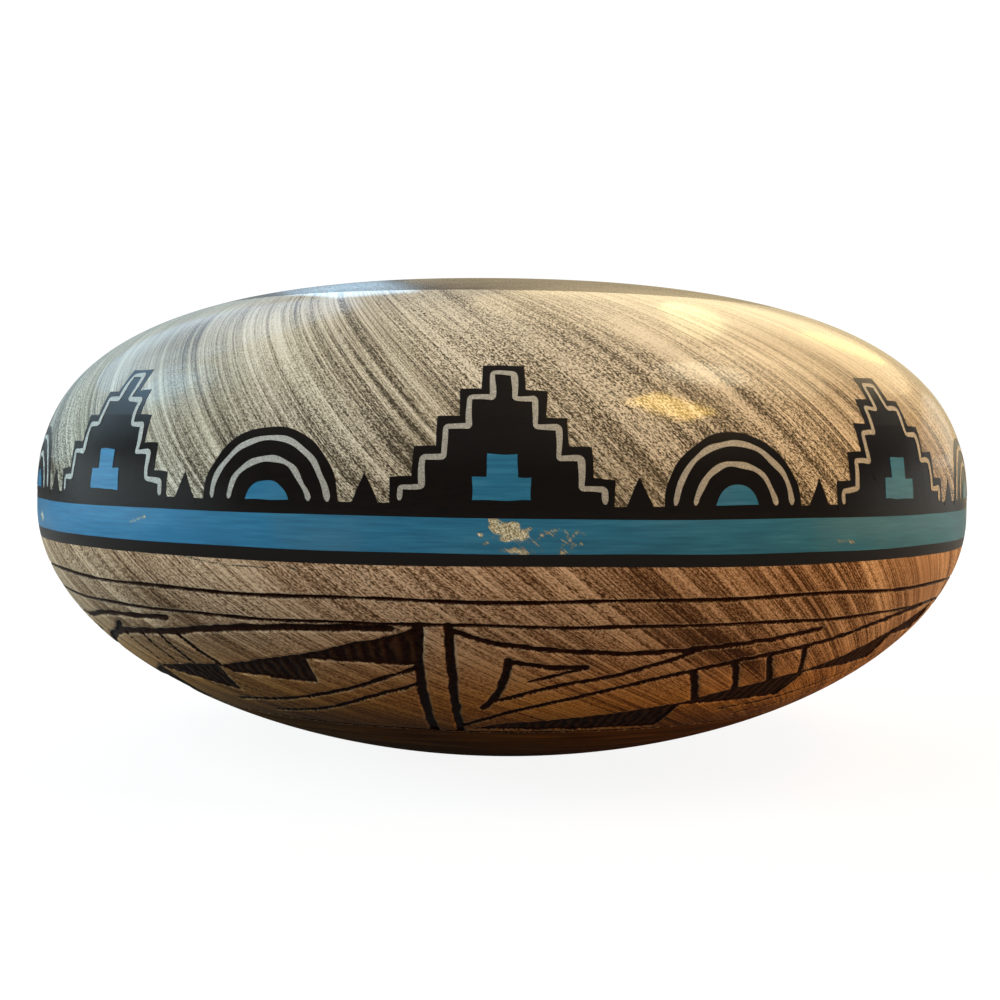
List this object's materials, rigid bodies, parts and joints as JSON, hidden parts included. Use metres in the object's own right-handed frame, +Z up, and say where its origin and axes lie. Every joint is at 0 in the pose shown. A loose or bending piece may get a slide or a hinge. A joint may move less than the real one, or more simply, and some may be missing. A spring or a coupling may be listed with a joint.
{
  "type": "pottery pot",
  "caption": "Squat round pottery pot with a wide open mouth and flat foot: fired clay under brushed slip, a painted belt and frieze, and an incised lower band.",
  "frame": {"origin": "centre of the flat foot, on the table", "axes": "+Z up along the axis the pot is turned about; the side the picture shows faces -Y"},
  "size_m": [0.201, 0.201, 0.096],
  "materials": {
    "fired_clay": "bare fired clay, buff and matt, with fine grit",
    "umber_slip": "dark brown slip with a satin lacquer",
    "brushed_brown_slip": "taupe slip with dark brush streaks and a satin lacquer",
    "brushed_grey_slip": "pale beige-grey slip with dark brush streaks and a satin lacquer",
    "black_paint": "black paint under satin lacquer",
    "turquoise_paint": "turquoise paint under satin lacquer, a little worn",
    "charcoal_paint": "charcoal paint under a glossy lacquer"
  },
  "bodies": {
    "root": {"clay_body": "fired_clay", "foot_band": "umber_slip", "carved_band": "brushed_brown_slip", "lower_belly_band": "brushed_brown_slip", "upper_belly_band": "brushed_brown_slip", "lower_stripe": "black_paint", "turquoise_belt": "turquoise_paint", "upper_stripe": "black_paint", "shoulder_slip": "brushed_grey_slip", "rim_paint": "charcoal_paint", "terrace_1": "black_paint", "terrace_2": "black_paint", "terrace_3": "black_paint", "terrace_4": "black_paint", "terrace_5": "black_paint", "terrace_6": "black_paint", "terrace_7": "black_paint", "terrace_8": "black_paint", "arch_1": "black_paint", "arch_2": "black_paint", "arch_3": "black_paint", "arch_4": "black_paint", "arch_5": "black_paint", "arch_6": "black_paint", "arch_7": "black_paint", "arch_8": "black_paint"}
  },
  "joints": []
}
